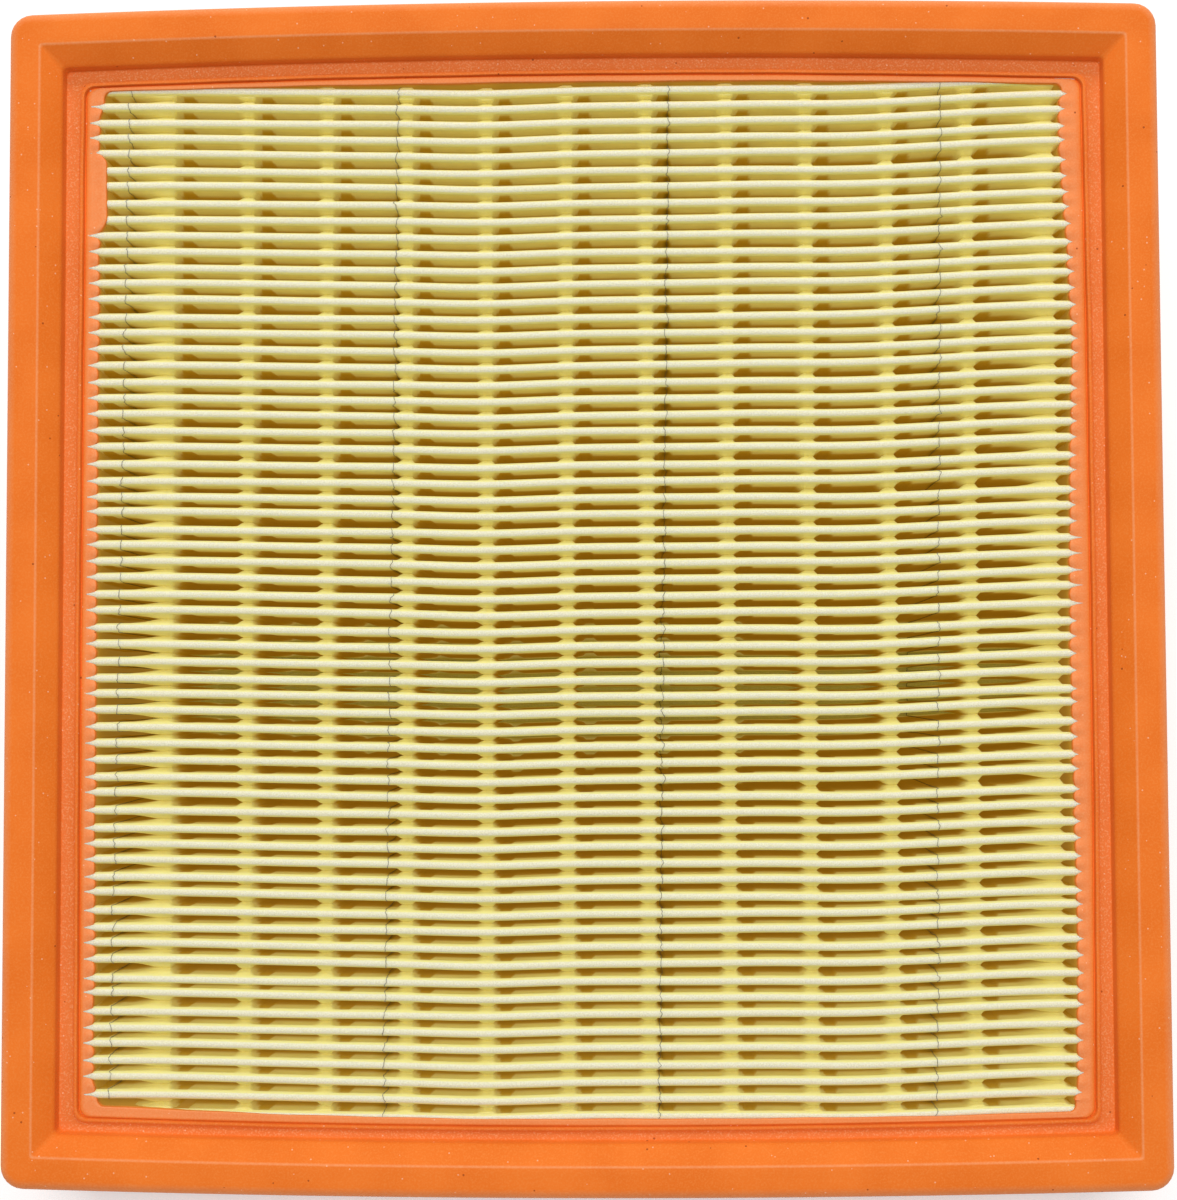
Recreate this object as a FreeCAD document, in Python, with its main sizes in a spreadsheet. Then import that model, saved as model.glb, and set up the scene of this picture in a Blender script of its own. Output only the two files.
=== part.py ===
import FreeCAD, Part

import math
import os

import Sketcher

# A moulded panel air filter, lying with its sealing face up.
# A polyurethane frame is cast round a pack of embossed paper folded into pleats.
# Glued yarns run across the folds on both faces of the pack and keep them apart.
# X runs along the pleats, Y across them, +Z out of the sealing face.
# The origin is the middle of the rim that the filter stands on. Sizes are millimetres.

SIZES = {
    # whole filter
    "overall_width": 238.0,
    "overall_length": 246.0,
    "overall_height": 58.0,
    "end_bow": 1.8,  # how far the two ends across Y bulge at the middle of their length
    # flange that the housing clamps; every inset is measured in from the outer edge
    "edge_inset": 0.0,
    "flange_depth": 13.0,
    "flange_corner_radius": 4.6,
    "shoulder_radius": 2.2,
    "lip_radius": 1.2,
    # sealing land, its inner slope and the recess behind it
    "crease_inset": 6.6,
    "crease_corner_radius": 0.6,
    "slope_drop": 3.0,
    "step_inset": 10.6,
    "step_corner_radius": 1.0,
    "recess_depth": 5.6,
    "bead_inset": 13.4,
    "bead_width": 0.9,
    "bead_height": 0.5,
    "bead_corner_radius": 2.3,
    # skirt that wraps the pack below the flange
    "skirt_top_inset": 10.0,
    "skirt_foot_inset": 11.5,
    "skirt_corner_radius": 4.0,
    "rim_bevel": 0.8,
    # window that the pack shows through
    "window_inset_sides": 18.2,
    "window_inset_ends": 16.7,
    "window_corner_radius": 1.5,
    # folded paper
    "nominal_pitch": 3.42,
    "paper_thickness": 0.45,
    "fold_radius": 0.725,  # to the middle of the sheet
    "crest_rise": 0.2,  # crests stand this far over the bed of the recess
    "lower_fold_rise": 1.5,  # lower folds over the rim
    "potting_depth": 3.5,  # pleat ends inside the side walls
    "end_leg_cover": 0.22,  # polyurethane over the sheet's two end legs
    # yarns
    "yarn_width": 0.35,
    "yarn_thickness": 0.25,
    "yarn_margin_left": 6.5,  # from the window's side to the middle of the outermost yarn
    "yarn_margin_right": 28.5,
}
YARN_COUNT = 4


def add_worked_out_sizes(sizes):
    """Add the sizes that follow from the driving ones, so that each has a cell of its own."""
    half_sheet = sizes["paper_thickness"] / 2
    bow = sizes["end_bow"]
    sizes["arch_radius"] = ((sizes["overall_width"] / 2) ** 2 + bow**2) / (2 * bow)
    sizes["lip_level"] = sizes["overall_height"] - sizes["flange_depth"]
    sizes["slope_level"] = sizes["overall_height"] - sizes["slope_drop"]
    sizes["bed_level"] = sizes["overall_height"] - sizes["recess_depth"]
    sizes["bevel_level"] = sizes["rim_bevel"]
    sizes["rim_level"] = 0.0
    sizes["rim_inset"] = sizes["skirt_foot_inset"] + sizes["rim_bevel"]
    sizes["bead_inner_inset"] = sizes["bead_inset"] + sizes["bead_width"]
    sizes["window_half_width"] = sizes["overall_width"] / 2 - sizes["window_inset_sides"]
    sizes["window_half_length"] = sizes["overall_length"] / 2 - sizes["window_inset_ends"]
    sizes["paper_width"] = 2 * (sizes["window_half_width"] + sizes["potting_depth"])
    # the row of pleats fills the window, with its two end legs just inside the end walls
    crest_row = 2 * (sizes["window_half_length"] + sizes["end_leg_cover"]
                     - sizes["fold_radius"] + half_sheet)
    gaps = round(crest_row / sizes["nominal_pitch"])
    sizes["pleat_count"] = gaps + 1
    sizes["pleat_pitch"] = crest_row / gaps
    sizes["crest_row"] = crest_row
    sizes["upper_axis_level"] = (sizes["bed_level"] + sizes["crest_rise"]
                                 - sizes["fold_radius"] - half_sheet)
    sizes["lower_axis_level"] = sizes["lower_fold_rise"] + sizes["fold_radius"] + half_sheet
    yarn_row = (2 * sizes["window_half_width"] - sizes["yarn_margin_left"]
                - sizes["yarn_margin_right"])
    sizes["yarn_spacing"] = yarn_row / (YARN_COUNT - 1)
    sizes["first_yarn_station"] = sizes["yarn_margin_left"] - sizes["window_half_width"]


add_worked_out_sizes(SIZES)
doc = FreeCAD.newDocument("panel_air_filter")


def make_sheet():
    """Every size in one spreadsheet, each cell named by its alias."""
    sheet = doc.addObject("Spreadsheet::Sheet", "Sizes")
    for row, (alias, value) in enumerate(SIZES.items(), start=1):
        sheet.set(f"A{row}", alias)
        sheet.set(f"B{row}", str(value))
        sheet.setAlias(f"B{row}", alias)
    doc.recompute()


def new_body(label):
    body = doc.addObject("PartDesign::Body", label)
    body.Label = label
    return body


def new_sketch(body, name, plane_role, across="0", along="0", level="0"):
    """A sketch on an origin plane of the body, shifted in the plane's own axes by sheet expressions."""
    plane = next(item for item in body.Origin.OriginFeatures if item.Role == plane_role)
    sketch = body.newObject("Sketcher::SketchObject", name)
    sketch.AttachmentSupport = [(plane, "")]
    sketch.MapMode = "FlatFace"
    sketch.setExpression("AttachmentOffset.Base.x", across)
    sketch.setExpression("AttachmentOffset.Base.y", along)
    sketch.setExpression("AttachmentOffset.Base.z", level)
    return sketch


def line(start, end):
    return Part.LineSegment(FreeCAD.Vector(*start, 0), FreeCAD.Vector(*end, 0))


def arc(centre, radius, start_angle, end_angle):
    """An arc drawn counter-clockwise, with its angles in radians."""
    circle = Part.Circle(FreeCAD.Vector(*centre, 0), FreeCAD.Vector(0, 0, 1), radius)
    return Part.ArcOfCircle(circle, start_angle, end_angle)


def arc_through(start, middle, end):
    """An arc through three points, drawn counter-clockwise."""
    turn = (middle[0] - start[0]) * (end[1] - middle[1]) - (middle[1] - start[1]) * (end[0] - middle[0])
    if turn < 0:
        start, end = end, start
    return Part.Arc(*(FreeCAD.Vector(*point, 0) for point in (start, middle, end)))


def nearest_ends(sketch, first, second):
    """The end numbers, 1 or 2, at which two neighbouring edges of a sketch meet."""
    pairs = [(a, b) for a in (1, 2) for b in (1, 2)]
    gap = {
        (a, b): sketch.getPoint(first, a).distanceToPoint(sketch.getPoint(second, b))
        for a, b in pairs
    }
    return min(pairs, key=gap.get)


def join(sketch, first, second, kind="Tangent"):
    end_of_first, end_of_second = nearest_ends(sketch, first, second)
    sketch.addConstraint(Sketcher.Constraint(kind, first, end_of_first, second, end_of_second))


def dimension(sketch, name, expression, *constraint):
    """A driving dimension whose value comes from the sheet."""
    index = sketch.addConstraint(Sketcher.Constraint(*constraint))
    sketch.renameConstraint(index, name)
    sketch.setExpression(f"Constraints.{name}", expression)


ORIGIN_POINT = (-1, 1)
Y_AXIS = -2


def add_outline(sketch, inset, corner):
    """Draw the filter's outline moved in by an inset: straight sides, arched ends, round corners."""
    half_width = SIZES["overall_width"] / 2 - SIZES[inset]
    arch_radius = SIZES["arch_radius"]
    arch_drop = arch_radius - SIZES["overall_length"] / 2 + SIZES[inset]
    corner_radius = SIZES[corner]
    corner_x = half_width - corner_radius
    corner_y = math.sqrt((arch_radius - corner_radius) ** 2 - corner_x**2) - arch_drop
    lean = math.atan2(corner_y + arch_drop, corner_x)
    turn = math.pi
    first = sketch.GeometryCount
    sketch.addGeometry([
        line((half_width, -corner_y), (half_width, corner_y)),
        arc((corner_x, corner_y), corner_radius, 0, lean),
        arc((0, -arch_drop), arch_radius, lean, turn - lean),
        arc((-corner_x, corner_y), corner_radius, turn - lean, turn),
        line((-half_width, corner_y), (-half_width, -corner_y)),
        arc((-corner_x, -corner_y), corner_radius, turn, turn + lean),
        arc((0, arch_drop), arch_radius, turn + lean, 2 * turn - lean),
        arc((corner_x, -corner_y), corner_radius, 2 * turn - lean, 2 * turn),
    ])
    edges = [first + step for step in range(8)]
    for edge, following in zip(edges, edges[1:] + edges[:1]):
        join(sketch, edge, following)
    right, corner_one, back_arch, corner_two, left, corner_three, front_arch, corner_four = edges
    half = f"Sizes.overall_width / 2 - Sizes.{inset}"
    drop = f"Sizes.arch_radius - Sizes.overall_length / 2 + Sizes.{inset}"
    for side in (right, left):
        sketch.addConstraint(Sketcher.Constraint("Vertical", side))
    dimension(sketch, f"right_{inset}", half, "DistanceX", *ORIGIN_POINT, right, 1, half_width)
    dimension(sketch, f"left_{inset}", half, "DistanceX", left, 1, *ORIGIN_POINT, half_width)
    for arch in (back_arch, front_arch):
        sketch.addConstraint(Sketcher.Constraint("PointOnObject", arch, 3, Y_AXIS))
    dimension(sketch, f"back_{inset}", drop, "DistanceY", back_arch, 3, *ORIGIN_POINT, arch_drop)
    dimension(sketch, f"front_{inset}", drop, "DistanceY", *ORIGIN_POINT, front_arch, 3, arch_drop)
    dimension(sketch, f"arch_{inset}", "Sizes.arch_radius", "Radius", back_arch, arch_radius)
    sketch.addConstraint(Sketcher.Constraint("Equal", back_arch, front_arch))
    dimension(sketch, f"corner_{inset}", f"Sizes.{corner}", "Radius", corner_one, corner_radius)
    for other in (corner_two, corner_three, corner_four):
        sketch.addConstraint(Sketcher.Constraint("Equal", corner_one, other))


def outline_sketch(body, name, level, *outlines):
    """A sketch at a named level that holds one outline or more, each an inset and a corner radius."""
    sketch = new_sketch(body, name, "XY_Plane", level=f"Sizes.{level}")
    for inset, corner in outlines:
        add_outline(sketch, inset, corner)
    return sketch


def window_sketch(body):
    """The window, a plain rectangle with round corners."""
    half_x = SIZES["window_half_width"]
    half_y = SIZES["window_half_length"]
    radius = SIZES["window_corner_radius"]
    sketch = new_sketch(body, "window_outline", "XY_Plane", level="Sizes.overall_height")
    quarter = math.pi / 2
    for side, (sign_x, sign_y) in enumerate([(1, 1), (-1, 1), (-1, -1), (1, -1)]):
        centre = (sign_x * (half_x - radius), sign_y * (half_y - radius))
        sketch.addGeometry(arc(centre, radius, side * quarter, (side + 1) * quarter))
    for side in range(4):
        start = sketch.getPoint(side, 2)
        end = sketch.getPoint((side + 1) % 4, 1)
        sketch.addGeometry(line((start.x, start.y), (end.x, end.y)))
        join(sketch, side, 4 + side)
        join(sketch, 4 + side, (side + 1) % 4)
    back, left, front, right = range(4, 8)
    for side in (back, front):
        sketch.addConstraint(Sketcher.Constraint("Horizontal", side))
    for side in (left, right):
        sketch.addConstraint(Sketcher.Constraint("Vertical", side))
    across = "Sizes.window_half_width"
    along = "Sizes.window_half_length"
    dimension(sketch, "right", across, "DistanceX", *ORIGIN_POINT, right, 1, half_x)
    dimension(sketch, "left", across, "DistanceX", left, 1, *ORIGIN_POINT, half_x)
    dimension(sketch, "back", along, "DistanceY", *ORIGIN_POINT, back, 1, half_y)
    dimension(sketch, "front", along, "DistanceY", front, 1, *ORIGIN_POINT, half_y)
    dimension(sketch, "corner", "Sizes.window_corner_radius", "Radius", 0, radius)
    for other in (1, 2, 3):
        sketch.addConstraint(Sketcher.Constraint("Equal", 0, other))
    return sketch


def add_feature(body, kind, name, **settings):
    feature = body.newObject(kind, name)
    for key, value in settings.items():
        setattr(feature, key, value)
    return feature


def pad(body, name, sketch, length, **settings):
    feature = add_feature(body, "PartDesign::Pad", name, Profile=sketch, **settings)
    feature.setExpression("Length", length)
    return feature


def ruled_loft(body, kind, name, start, *following):
    return add_feature(body, kind, name, Profile=start, Sections=list(following), Ruled=True)


def edges_at_level(feature, level):
    """The names of the edges that lie flat at one height."""
    names = []
    for number, edge in enumerate(feature.Shape.Edges, start=1):
        box = edge.BoundBox
        if abs(box.ZMin - level) < 0.001 and abs(box.ZMax - level) < 0.001:
            names.append(f"Edge{number}")
    return names


def make_frame_casting():
    """The cast frame with its window open, before the pack is potted in it."""
    body = new_body("frame_casting")
    edge = ("edge_inset", "flange_corner_radius")
    flange_sketch = outline_sketch(body, "flange_outline", "lip_level", edge)
    flange = pad(body, "flange", flange_sketch, "Sizes.flange_depth")
    doc.recompute()

    shoulder_edges = edges_at_level(flange, SIZES["overall_height"])
    shoulder = add_feature(body, "PartDesign::Fillet", "shoulder", Base=(flange, shoulder_edges))
    shoulder.setExpression("Radius", "Sizes.shoulder_radius")
    doc.recompute()
    lip_edges = edges_at_level(shoulder, SIZES["lip_level"])
    lip = add_feature(body, "PartDesign::Fillet", "lip", Base=(shoulder, lip_edges))
    lip.setExpression("Radius", "Sizes.lip_radius")

    skirt_levels = [
        outline_sketch(body, name, level, (inset, "skirt_corner_radius"))
        for name, level, inset in (
            ("skirt_top", "lip_level", "skirt_top_inset"),
            ("skirt_foot", "bevel_level", "skirt_foot_inset"),
            ("rim", "rim_level", "rim_inset"),
        )
    ]
    ruled_loft(body, "PartDesign::AdditiveLoft", "skirt", *skirt_levels)

    crease = outline_sketch(body, "crease", "overall_height", ("crease_inset", "crease_corner_radius"))
    slope_foot = outline_sketch(body, "slope_foot", "slope_level", ("step_inset", "step_corner_radius"))
    ruled_loft(body, "PartDesign::SubtractiveLoft", "slope", crease, slope_foot)
    step = outline_sketch(body, "step", "overall_height", ("step_inset", "step_corner_radius"))
    recess = add_feature(body, "PartDesign::Pocket", "recess", Profile=step)
    recess.setExpression("Length", "Sizes.recess_depth")

    bead_lines = [("bead_inset", "bead_corner_radius"), ("bead_inner_inset", "bead_corner_radius")]
    pad(body, "bead", outline_sketch(body, "bead_ring", "bed_level", *bead_lines), "Sizes.bead_height")
    window = add_feature(body, "PartDesign::Pocket", "window", Profile=window_sketch(body))
    window.Type = "ThroughAll"
    doc.recompute()
    return body


def fold_face(offset, up):
    """The five edges of one face of a pleat, left to right: half a gap, leg, fold, leg, half a gap.

    The offset is upwards from the middle of the sheet.
    With up 1 the fold is a crest, with up -1 a lower one.
    """
    half_pitch = SIZES["pleat_pitch"] / 2
    fold_level, gap_level = SIZES["upper_axis_level"], SIZES["lower_axis_level"]
    if up < 0:
        fold_level, gap_level = gap_level, fold_level
    rise = abs(fold_level - gap_level)
    # each leg is a common tangent that crosses between the two rows of fold axes
    reach = math.hypot(half_pitch, rise)
    lean = math.atan2(half_pitch, rise) - math.asin(2 * SIZES["fold_radius"] / reach)
    fold_radius = SIZES["fold_radius"] + up * offset
    gap_radius = SIZES["fold_radius"] - up * offset

    def on_fold(angle):
        return fold_radius * math.cos(angle), fold_level + up * fold_radius * math.sin(angle)

    def on_gap(side, angle):
        across = half_pitch - gap_radius * math.cos(angle)
        return side * across, gap_level - up * gap_radius * math.sin(angle)

    down = math.pi / 2
    return [
        arc_through(on_gap(-1, down), on_gap(-1, down / 2), on_gap(-1, lean)),
        line(on_gap(-1, lean), on_fold(math.pi - lean)),
        arc_through(on_fold(math.pi - lean), on_fold(down), on_fold(lean)),
        line(on_fold(lean), on_gap(1, lean)),
        arc_through(on_gap(1, lean), on_gap(1, down / 2), on_gap(1, down)),
    ]


def pleat_sketch(body, name, lower_offset, upper_offset, up, across, station="0"):
    """The section of one pleat of a layer that lies between two offsets from the middle of the sheet.

    Each offset is a pair: its value and the same thing as an expression in the sheet's cells.
    """
    sketch = new_sketch(body, name, "YZ_Plane", across=across, level=station)
    faces = {}
    for face, (offset, _) in (("lower", lower_offset), ("upper", upper_offset)):
        first = sketch.GeometryCount
        sketch.addGeometry(fold_face(offset, up))
        faces[face] = list(range(first, sketch.GeometryCount))
        for edge, following in zip(faces[face], faces[face][1:]):
            join(sketch, edge, following)

    half_pitch = SIZES["pleat_pitch"] / 2
    levels = ["upper_axis_level", "lower_axis_level"]
    fold_level, gap_level = levels if up > 0 else levels[::-1]
    left_gap, _, fold, _, right_gap = faces["lower"]
    sketch.addConstraint(Sketcher.Constraint("PointOnObject", fold, 3, Y_AXIS))
    left_reach = ("DistanceX", left_gap, 3, *ORIGIN_POINT, half_pitch)
    right_reach = ("DistanceX", *ORIGIN_POINT, right_gap, 3, half_pitch)
    dimension(sketch, "left_reach", "Sizes.pleat_pitch / 2", *left_reach)
    dimension(sketch, "right_reach", "Sizes.pleat_pitch / 2", *right_reach)
    for name, edge, level in (
        ("fold_level", fold, fold_level),
        ("left_level", left_gap, gap_level),
        ("right_level", right_gap, gap_level),
    ):
        height = ("DistanceY", *ORIGIN_POINT, edge, 3, SIZES[level])
        dimension(sketch, name, f"Sizes.{level}", *height)
    for lower_edge, upper_edge in zip(faces["lower"][::2], faces["upper"][::2]):
        sketch.addConstraint(Sketcher.Constraint("Coincident", lower_edge, 3, upper_edge, 3))

    fold_sign, gap_sign = ("+", "-") if up > 0 else ("-", "+")
    for face, (offset, expression) in (("lower", lower_offset), ("upper", upper_offset)):
        left_gap, _, fold, _, right_gap = faces[face]
        of_fold = ("Radius", fold, SIZES["fold_radius"] + up * offset)
        of_gap = ("Radius", left_gap, SIZES["fold_radius"] - up * offset)
        dimension(sketch, f"{face}_fold", f"Sizes.fold_radius {fold_sign} ({expression})", *of_fold)
        dimension(sketch, f"{face}_gap", f"Sizes.fold_radius {gap_sign} ({expression})", *of_gap)
        sketch.addConstraint(Sketcher.Constraint("Equal", left_gap, right_gap))

    for end in (0, -1):
        close_pleat_end(sketch, faces["lower"][end], faces["upper"][end])
    return sketch


def close_pleat_end(sketch, lower_arc, upper_arc):
    """Join the two faces by an upright line through the axis of the gap."""
    axis = sketch.getPoint(lower_arc, 3)
    lower_end, upper_end = (
        min((1, 2), key=lambda end: abs(sketch.getPoint(edge, end).x - axis.x))
        for edge in (lower_arc, upper_arc)
    )
    start, end = sketch.getPoint(lower_arc, lower_end), sketch.getPoint(upper_arc, upper_end)
    closing = sketch.addGeometry(line((start.x, start.y), (end.x, end.y)))
    sketch.addConstraint(Sketcher.Constraint("Coincident", lower_arc, lower_end, closing, 1))
    sketch.addConstraint(Sketcher.Constraint("Coincident", upper_arc, upper_end, closing, 2))
    sketch.addConstraint(Sketcher.Constraint("Vertical", closing))
    sketch.addConstraint(Sketcher.Constraint("Vertical", lower_arc, 3, lower_arc, lower_end))


def make_pleated_layer(label, offsets, up, width, station="0"):
    """A layer of the pack, one pleat repeated along Y. Between crests a layer has one pleat fewer."""
    body = new_body(label)
    start = "0 - Sizes.crest_row / 2"
    span, count = "Sizes.crest_row", "Sizes.pleat_count"
    if up < 0:
        start = f"{start} + Sizes.pleat_pitch / 2"
        span = f"{span} - Sizes.pleat_pitch"
        count = f"{count} - 1"
    section = pleat_sketch(body, "pleat_section", *offsets, up, start, station)
    pleat = pad(body, "pleat", section, f"Sizes.{width}", SideType="Symmetric")
    row = add_feature(body, "PartDesign::LinearPattern", "row", Originals=[pleat])
    row.Direction = (section, ["H_Axis"])
    row.setExpression("Length", span)
    row.setExpression("Occurrences", count)
    body.Tip = row
    doc.recompute()
    return body


def make_paper():
    half_sheet = SIZES["paper_thickness"] / 2
    offsets = (-half_sheet, "0 - Sizes.paper_thickness / 2"), (half_sheet, "Sizes.paper_thickness / 2")
    return make_pleated_layer("pleated_paper", offsets, 1, "paper_width")


def make_yarn(face, number):
    """One yarn, laid on the upper or the lower face of the paper from the first crest to the last."""
    side = 1 if face == "upper" else -1
    sign = "" if side > 0 else "0 - "
    half_sheet = SIZES["paper_thickness"] / 2
    touching = side * half_sheet, f"{sign}Sizes.paper_thickness / 2"
    outer_value = side * (half_sheet + SIZES["yarn_thickness"])
    outer = outer_value, f"{sign}(Sizes.paper_thickness / 2 + Sizes.yarn_thickness)"
    offsets = (touching, outer) if side > 0 else (outer, touching)
    station = f"Sizes.first_yarn_station + {number - 1} * Sizes.yarn_spacing"
    return make_pleated_layer(f"{face}_yarn_{number}", offsets, -1, "yarn_width", station)


def pot_pack(casting, paper):
    """The finished frame: the casting less the room that the paper takes in its walls."""
    frame = doc.addObject("Part::Cut", "frame_moulding")
    frame.Base = casting
    frame.Tool = paper
    frame.Label = "frame_moulding"
    doc.recompute()
    return frame


def check(objects):
    """Stop before anything is written if any object failed or any piece isn't one sound solid."""
    for item in doc.Objects:
        if {"Invalid", "Error"} & set(item.State):
            raise RuntimeError(f"{item.Label} did not build: {item.State}")
    for item in objects:
        if item.Shape.isNull() or not item.Shape.isValid():
            raise RuntimeError(f"{item.Label} has no valid shape")
        if len(item.Shape.Solids) != 1:
            raise RuntimeError(f"{item.Label} has {len(item.Shape.Solids)} solids")


make_sheet()
paper = make_paper()
frame = pot_pack(make_frame_casting(), paper)
yarns = [make_yarn(face, number) for face in ("upper", "lower") for number in range(1, YARN_COUNT + 1)]
pieces = [frame, paper, *yarns]
doc.recompute()
check(pieces)
os.makedirs("parts", exist_ok=True)
for piece in pieces:
    piece.Shape.exportStep(f"parts/{piece.Label}.step")
    print(piece.Label, round(piece.Shape.Volume / 1000, 2), "cm3")
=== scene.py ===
import math
import random

import bmesh
import bpy
import numpy as np
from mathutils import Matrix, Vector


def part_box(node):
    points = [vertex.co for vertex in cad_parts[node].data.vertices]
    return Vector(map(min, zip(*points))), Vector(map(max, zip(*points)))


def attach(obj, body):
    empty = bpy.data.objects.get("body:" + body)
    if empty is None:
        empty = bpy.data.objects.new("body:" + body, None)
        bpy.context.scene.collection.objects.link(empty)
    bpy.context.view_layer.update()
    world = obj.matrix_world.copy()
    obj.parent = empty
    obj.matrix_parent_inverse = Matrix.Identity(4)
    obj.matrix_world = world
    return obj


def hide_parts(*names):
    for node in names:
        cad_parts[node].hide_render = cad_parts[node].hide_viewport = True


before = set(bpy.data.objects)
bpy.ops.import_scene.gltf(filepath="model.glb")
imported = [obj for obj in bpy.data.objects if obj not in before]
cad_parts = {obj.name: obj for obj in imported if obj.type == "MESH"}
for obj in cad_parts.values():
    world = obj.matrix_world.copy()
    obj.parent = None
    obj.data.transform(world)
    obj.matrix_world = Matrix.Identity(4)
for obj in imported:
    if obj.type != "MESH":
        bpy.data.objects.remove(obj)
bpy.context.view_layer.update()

MM = 0.001
frame_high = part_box("frame_moulding")[1]
paper_low, paper_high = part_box("pleated_paper")

# Pleated paper. Lengths are in metres unless a name says otherwise.
PLEATS = 63
PITCH = 3.43 * MM
PACK_SHIFT = -0.9 * MM
SHEET = 0.45 * MM
FOLD = 0.725 * MM
CREST_TOP = paper_high[2]
CREST_AXIS = CREST_TOP - FOLD - SHEET / 2
ROOT_AXIS = paper_low[2] + FOLD + SHEET / 2
LEG = CREST_AXIS - ROOT_AXIS
PAPER_END = frame_high[0] - 15.6 * MM
PLEATS_PER_PIECE = 7
# The first and last crests are pressed down under the lip.
END_CREST_DROP = 0.45 * MM
NARROWEST_COLUMN = 0.3

# Bends that all crests share, in millimetres: how far towards the back, where, and over what run.
CREST_SHIFT = 0.1
LEFT_BEND = (0.9, 40, 58)
RIGHT_BEND = (1.6, 50, 50)
DIP = (-0.55, -21, 15)
MOUND = (0.12, 38, 10)

# The first and last rows are bent further than the others: middle, left, right, wave, phase.
BACK_ROW_SWAY = [0.0, -0.8, -1.7, 0.0, 0.0]
FRONT_ROW_SWAY = [-3.0, -2.5, -1.0, 0.0, 0.0]
# How far, in millimetres, a row strays by itself: in its middle, at its left and right ends, in a wave.
MIDDLE_SWAY = 0.06
LEFT_SWAY = 0.15
RIGHT_SWAY = 0.20
WAVE_SWAY = 0.05
SWAY_RUN = 95 * MM
WAVE_RUN = 17 * MM

# Embossed stations along each pleat: a bulge, then a pocket, measured from the station.
FIRST_STATION = -87.15 * MM
STATION_SPACING = 16.73 * MM
STATIONS = 12
BULGE_START = -0.3 * MM
BULGE_END = 1.3 * MM
BULGE_LEAD = 1.8 * MM
LONG_BULGE_LEAD = 7.0 * MM
BULGE_FALL = 0.8 * MM
POCKET_START = 3.1 * MM
POCKET_END = 5.0 * MM
POCKET_RAMP = 0.9 * MM
# Each station's stretch is centred this far behind it.
STRETCH_CENTRE = 2 * MM
TOUCH_GAP = 0.015 * MM
# The emboss starts below the fold, is full down to a depth and fades to its tail at the far fold.
EMBOSS_LEAD = 1.3 * MM
EMBOSS_FULL = 20 * MM
EMBOSS_TAIL = 0.26
POCKET_TOP = 0.35 * MM

# Depths at which painted shade turns the walls amber, sooner in the pockets and later on the bulges.
PAINTED_SHADE_START = 4.2 * MM
PAINTED_SHADE_RAMP = 2.6 * MM
POCKET_SHADE_RISE = 2.3 * MM
POCKET_RAMP_CUT = 1.4 * MM
BULGE_SHADE_DROP = 3.0 * MM

# Places along the sheet: turns in quarter circles, depths as shares of one wall.
ROOT_TURNS = (0.0, 0.5)
WALL_DEPTHS = (1.0, 0.975, 0.93, 0.88, 0.65, 0.35, 0.13, 0.085, 0.055, 0.03, 0.012)
CREST_TURNS = (0.0, 1 / 3, 2 / 3)
YARN_DEPTHS = (1.0, 0.93, 0.88, 0.35, 0.13, 0.085, 0.03)

# Yarns. They lean a little, and glue darkens the paper round them.
YARN_STATIONS = (-96.25 * MM, -39.7 * MM, 16.95 * MM, 73.6 * MM)
YARN_LEAN = 0.0137
YARN_RADIUS = 0.075 * MM
# A yarn's middle lies this share of its radius off the sheet.
YARN_SINK = 0.8
# Each point strays by a random step, in millimetres, and keeps a share of the stray before it.
YARN_STEP = 0.17
YARN_MEMORY = 0.5
YARN_COLUMNS = (-1.8, -0.9, 0.0, 0.9, 1.8)
GLUE_WIDTH = 0.7 * MM
GLUE_TOP = 1.5 * MM
GLUE_TOP_RAMP = 2 * MM
GLUE_END = 9 * MM
GLUE_END_RAMP = 3 * MM

# Moulded frame.
HALF_WIDTH = frame_high[0]
HALF_LENGTH = frame_high[1]
HEIGHT = frame_high[2]
SIDE_RUN = 103.8 * MM
END_RUN = 99.0 * MM
COLUMNS_PER_PLEAT = 8
END_COLUMNS = 100
CORNER_TURNS = 6
SHARPEST_CORNER = 0.6
SEAM = 0.001 * MM
END_BOW = 1.8 * MM
LIP_BOW = 1.2 * MM
# Levels above this, in millimetres, belong to the upper face of the frame.
UPPER_FACE = 50
# How much further out the bead and the lip are at the back (1) and at the front (-1).
END_SHIFT = {1: -0.25 * MM, -1: 0.5 * MM}
# How much further in the lip is at the left and right of each end, at the back (1) and the front (-1).
LIP_PULL = {1: (-0.05 * MM, 0.2 * MM), -1: (1.4 * MM, 0.4 * MM)}
LIP_EDGE = 18.6 * MM
# How much further in the lip is along each long side. A negative value is further out.
LEFT_LIP_SHIFT = -1.05 * MM
RIGHT_LIP_PLACES = (-92 * MM, -72 * MM, -31 * MM, 6 * MM, 51 * MM, 69 * MM, 79 * MM, 92 * MM)
RIGHT_LIP_SHIFTS = (-0.6 * MM, -1.0 * MM, -0.4 * MM, -0.4 * MM, -1.5 * MM, -0.9 * MM, -0.25 * MM, 0.6 * MM)
LIP_SHIFT_RAMP = 4 * MM
# The lip stands a little lower over the pleat ends on the left than on the right.
LEFT_LIP_LIFT = -0.015 * MM
RIGHT_LIP_LIFT = 0.07 * MM
RIGHT_LOW_RUN = (-3 * MM, 12 * MM)
LIP_LIFT_RAMP = 4 * MM
LIFTED_LIP = 0.3
# A thin flash of foam covers the ends of a few pleats on the left.
FLASH_RUN = (79.0 * MM, 90.5 * MM)
FLASH_RAMP = 3.5 * MM
FLASH_REACH = 1.85 * MM
FLASH_RISE = 0.12 * MM
# Lobes of foam run in between the pleat ends. This share of each lies outside the drawn lip line.
LOBE_MEAN = 0.35
LOBE_RANGE = (0.4, 1.3)
# The bead lies further in at the left (-1), and further in towards the corners.
BEAD_SHIFT = {-1: 0.4 * MM, 1: 0.0}
BEAD_BOW = {-1: 0.3 * MM, 1: 0.5 * MM}
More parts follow.
